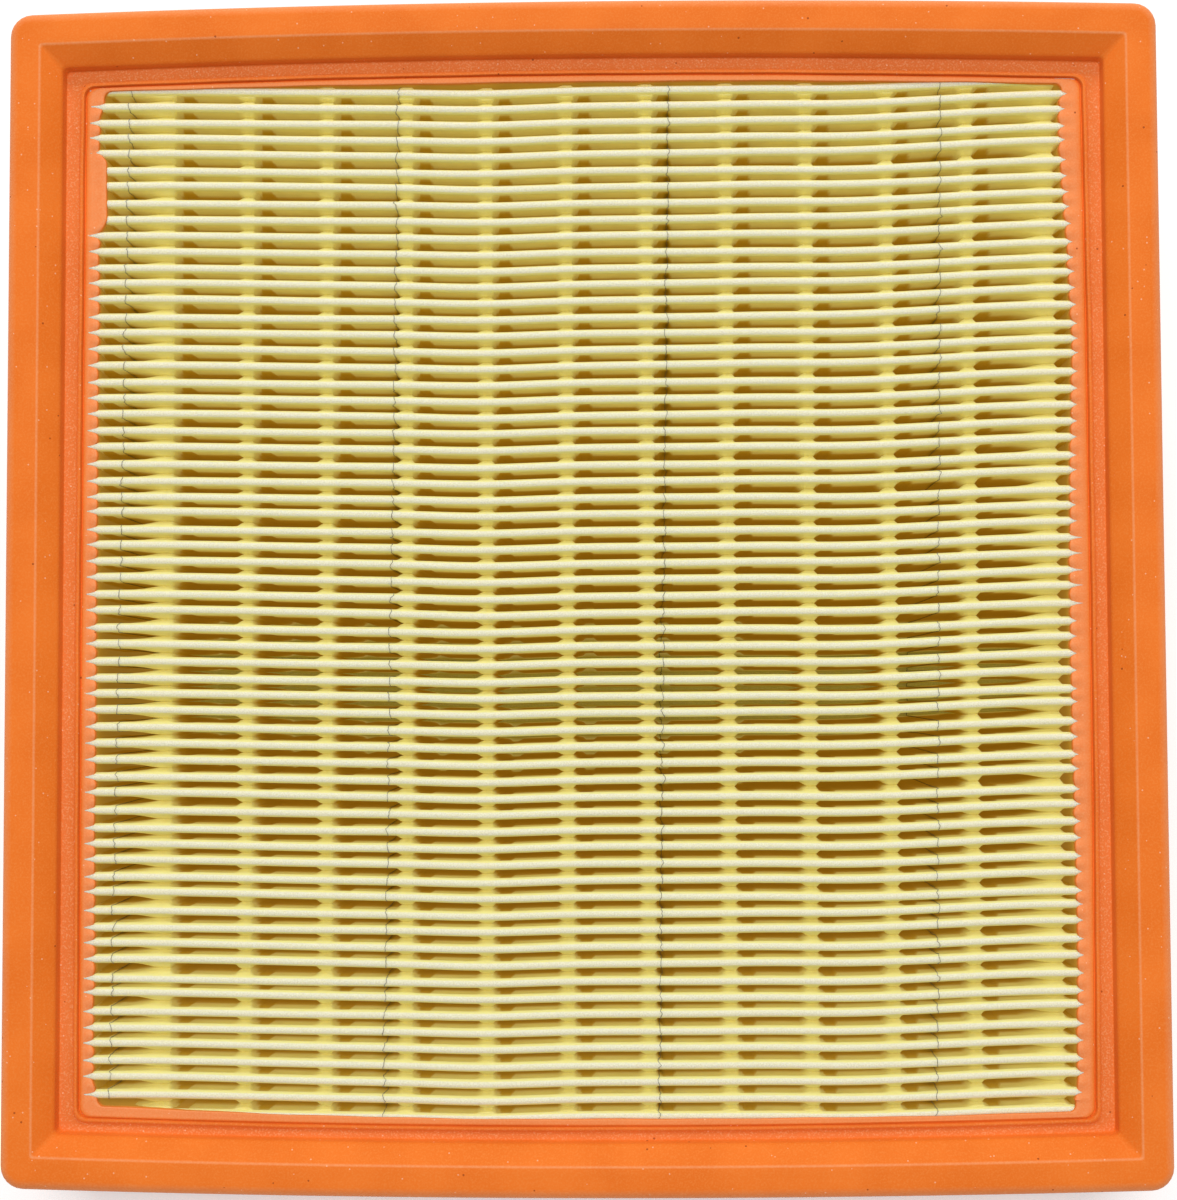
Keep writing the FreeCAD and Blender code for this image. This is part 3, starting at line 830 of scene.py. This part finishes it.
def moulded_foam():
    """Orange moulded foam with a closed skin, light specks and a few open pores."""
    deep_orange, bright_orange = (0.80, 0.165, 0.014, 1), (0.86, 0.19, 0.020, 1)
    light_grain, pale_sheen_orange = (0.90, 0.30, 0.07, 1), (0.90, 0.45, 0.23, 1)
    rough_band, rough_grain = (0.72, 0.19, 0.055, 1), (0.93, 0.47, 0.23, 1)
    speck, pore = (1.0, 0.62, 0.40, 1), (0.30, 0.05, 0.006, 1)
    lower_wall_amber, painted_lower_wall_glow, no_glow = (0.55, 0.34, 0.05, 1), (0.40, 0.25, 0.03, 1), (0, 0, 0, 1)

    finish, tree, shader, place = start_finish("orange_moulded_foam")
    fine, cloud = grain(tree, place, 2600.0, 70.0)
    band = read_attribute(tree, "moulded_grain")
    colour = blend_colours(tree, between(tree, cloud, 0.35, 0.65), deep_orange, bright_orange)
    grains = calculate(tree, "MULTIPLY", between(tree, fine, 0.45, 0.75), 0.35)
    colour = blend_colours(tree, grains, colour, light_grain)
    colour = blend_colours(tree, calculate(tree, "MULTIPLY", band, 0.55), colour, rough_band)
    rough = calculate(tree, "MULTIPLY", between(tree, fine, 0.52, 0.66), band)
    colour = blend_colours(tree, calculate(tree, "MULTIPLY", rough, 0.32), colour, rough_grain)
    # Painted sheen: the rounded edge, the crease and the lobes turn paler, partly their own tone and partly
    # painted highlight.
    pale = calculate(tree, "MULTIPLY", read_attribute(tree, "bloom"), between(tree, fine, -0.40, 0.80))
    colour = blend_colours(tree, pale, colour, pale_sheen_orange)
    light = specks(tree, place, 1500.0, 0.25, 0.02)
    colour = blend_colours(tree, calculate(tree, "MULTIPLY", light, 0.5), colour, speck)
    # Amber on the inner wall below the lip, with a painted glow of emission that lifts its shade.
    lower_wall = read_attribute(tree, "resin")
    colour = blend_colours(tree, lower_wall, colour, lower_wall_amber)
    feed(tree, blend_colours(tree, lower_wall, no_glow, painted_lower_wall_glow), shader.inputs["Emission Color"])
    shader.inputs["Emission Strength"].default_value = 0.38
    pores = specks(tree, place, 700.0, 0.16, 0.03)
    colour = blend_colours(tree, calculate(tree, "MULTIPLY", pores, 0.75), colour, pore)
    feed(tree, colour, shader.inputs["Base Color"])
    roughness = calculate(tree, "ADD", calculate(tree, "MULTIPLY", fine, 0.16), 0.52)
    feed(tree, roughness, shader.inputs["Roughness"])
    shader.inputs["Sheen Weight"].default_value = 0.03
    shader.inputs["Sheen Tint"].default_value = (1.0, 0.85, 0.78, 1)
    shader.inputs["Specular IOR Level"].default_value = 0.10
    height = calculate(tree, "MULTIPLY", fine, calculate(tree, "ADD", band, 0.35))
    height = calculate(tree, "SUBTRACT", height, pores)
    raise_surface(tree, shader, height, 0.35, RELIEF)
    return finish


def pleat_paper():
    """Resin-treated paper: pale along the folds and yellow on the walls, with painted shade that turns it
    amber in the depth and a painted glow of emission that stands in for light through the paper.
    """
    wall_yellow, wall_light, painted_shade_amber = (0.74, 0.64, 0.20, 1), (0.80, 0.71, 0.25, 1), (0.62, 0.44, 0.06, 1)
    fold_edge, cream, light_cream = (0.84, 0.77, 0.29, 1), (0.78, 0.73, 0.50, 1), (0.90, 0.86, 0.64, 1)
    glue_brown, painted_glue_glow, no_glow = (0.10, 0.06, 0.01, 1), (0.03, 0.015, 0.0, 1), (0, 0, 0, 1)
    painted_upper_glow, painted_deep_glow = (0.31, 0.26, 0.09, 1), (0.21, 0.12, 0.006, 1)

    finish, tree, shader, place = start_finish("treated_filter_paper")
    fine, cloud = grain(tree, place, 3200.0, 180.0)
    run = read_attribute(tree, "from_fold")
    shade = read_attribute(tree, "painted_shade_and_glue")
    uneven = calculate(tree, "MULTIPLY", calculate(tree, "SUBTRACT", fine, 0.5), 0.3 * MM)
    run = calculate(tree, "ADD", run, uneven)
    wall = blend_colours(tree, between(tree, cloud, 0.35, 0.65), wall_yellow, wall_light)
    # Painted shade: the walls turn amber deeper in the gaps, sooner in the pockets and later on the bulges.
    wall = blend_colours(tree, between(tree, shade, 0.0, 1.0), wall, painted_shade_amber)
    below_fold = blend_colours(tree, between(tree, run, 0.9 * MM, 1.6 * MM), fold_edge, wall)
    crest = blend_colours(tree, between(tree, fine, 0.35, 0.7), cream, light_cream)
    colour = blend_colours(tree, between(tree, run, 0.38 * MM, 0.62 * MM), crest, below_fold)
    glued = between(tree, shade, 1.1, 1.9)
    colour = blend_colours(tree, calculate(tree, "MULTIPLY", glued, 0.45), colour, glue_brown)
    feed(tree, colour, shader.inputs["Base Color"])
    # Painted light: emission brightens the upper walls and gives the deep gaps an amber glow, standing in for
    # light through the paper; less of it where the yarns are glued.
    painted_glow = blend_colours(tree, between(tree, run, 0.7 * MM, 2.2 * MM), no_glow, painted_upper_glow)
    deeper = calculate(tree, "MAXIMUM", between(tree, run, 4.5 * MM, 10 * MM), between(tree, shade, 0.0, 1.0))
    painted_glow = blend_colours(tree, deeper, painted_glow, painted_deep_glow)
    painted_glow = blend_colours(tree, glued, painted_glow, painted_glue_glow)
    feed(tree, painted_glow, shader.inputs["Emission Color"])
    shader.inputs["Emission Strength"].default_value = 0.36
    shader.inputs["Roughness"].default_value = 0.75
    shader.inputs["Specular IOR Level"].default_value = 0.2
    shader.inputs["Subsurface Weight"].default_value = 0.75
    shader.inputs["Subsurface Radius"].default_value = (1.0, 0.9, 0.6)
    shader.inputs["Subsurface Scale"].default_value = 1.3 * MM
    raise_surface(tree, shader, fine, 0.25, RELIEF)
    return finish


def yarn_finish():
    """Dull grey-brown twisted yarn."""
    dark_fibre, light_fibre = (0.10, 0.09, 0.06, 1), (0.50, 0.46, 0.34, 1)
    finish, tree, shader, place = start_finish("glued_yarn")
    fine, _ = grain(tree, place, 5200.0, 900.0)
    colour = blend_colours(tree, between(tree, fine, 0.35, 0.65), dark_fibre, light_fibre)
    feed(tree, colour, shader.inputs["Base Color"])
    shader.inputs["Roughness"].default_value = 0.8
    raise_surface(tree, shader, fine, 0.5, 0.1 * MM)
    return finish


def pale_floor():
    """A plain pale floor with a trace of light of its own."""
    pale, paler = (0.93, 0.93, 0.93, 1), (0.95, 0.95, 0.95, 1)
    finish, tree, shader, place = start_finish("pale_floor")
    _, cloud = grain(tree, place, 300.0, 4.0)
    colour = blend_colours(tree, between(tree, cloud, 0.3, 0.7), pale, paler)
    feed(tree, colour, shader.inputs["Base Color"])
    shader.inputs["Roughness"].default_value = 0.9
    shader.inputs["Emission Color"].default_value = (1, 1, 1, 1)
    shader.inputs["Emission Strength"].default_value = 0.12
    return finish


# ---------------------------------------------------------------- assembly

def settle(piece, finish, slot, *nodes):
    """Gives a piece its finish and its place in the model, and hides the imported nodes that it stands for.
    """
    piece.data.materials.clear()
    piece.data.materials.append(finish)
    bpy.ops.object.select_all(action="DESELECT")
    piece.select_set(True)
    bpy.context.view_layer.objects.active = piece
    bpy.ops.object.shade_smooth_by_angle(angle=SHARP_EDGE)
    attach(piece, "root")
    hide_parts(*nodes)


bpy.ops.object.select_all(action="DESELECT")
foam = moulded_foam()
paper = pleat_paper()
thread = yarn_finish()

settle(mould_frame("moulded_frame"), foam, "frame_foam", "frame_moulding")
for block in range(PLEATS // PLEATS_PER_PIECE):
    piece = fold_paper(block * PLEATS_PER_PIECE, PLEATS_PER_PIECE, f"pleats_{block + 1}")
    settle(piece, paper, "filter_paper", "pleated_paper")
for number, station in enumerate(YARN_STATIONS, 1):
    settle(lay_yarn(station, 1, f"top_yarn_{number}"), thread, "yarn", f"upper_yarn_{number}")
    settle(lay_yarn(station, -1, f"bottom_yarn_{number}"), thread, "yarn", f"lower_yarn_{number}")

# ---------------------------------------------------------------- stage, light and camera

bpy.ops.object.select_all(action="DESELECT")
bpy.ops.mesh.primitive_plane_add(size=FLOOR_SIZE, location=(0, 0, 0))
floor = bpy.context.object
floor.name = "floor"
floor.data.materials.append(pale_floor())

world = bpy.data.worlds.new("soft_surroundings")
world.use_nodes = True
world.node_tree.nodes["Background"].inputs[0].default_value = (1, 1, 1, 1)
world.node_tree.nodes["Background"].inputs[1].default_value = SURROUNDINGS
bpy.context.scene.world = world


def hang_light(name, tilt, distance, size, energy):
    """A square soft light, tilted towards the back, that shines at the middle of the part."""
    light = bpy.data.objects.new(name, bpy.data.lights.new(name, "AREA"))
    light.data.shape = "SQUARE"
    light.data.size = size
    light.data.energy = energy
    tilt = math.radians(tilt)
    light.location = (0.0, distance * math.sin(tilt), distance * math.cos(tilt))
    light.rotation_euler = (-tilt, 0, 0)
    bpy.context.scene.collection.objects.link(light)


hang_light("overhead_light", tilt=10, distance=2.4, size=0.6, energy=27)
hang_light("back_light", tilt=56, distance=2.4, size=0.6, energy=21)

bpy.context.scene.view_settings.view_transform = "Standard"

camera = bpy.data.objects.new("camera", bpy.data.cameras.new("camera"))
camera.location = CAMERA_PLACE
camera.rotation_euler = [math.radians(turn) for turn in CAMERA_TURN]
camera.data.sensor_fit = "HORIZONTAL"
camera.data.sensor_width = SENSOR_WIDTH
camera.data.lens = LENS
camera.data.clip_start = NEAREST
bpy.context.scene.collection.objects.link(camera)
bpy.context.scene.camera = camera
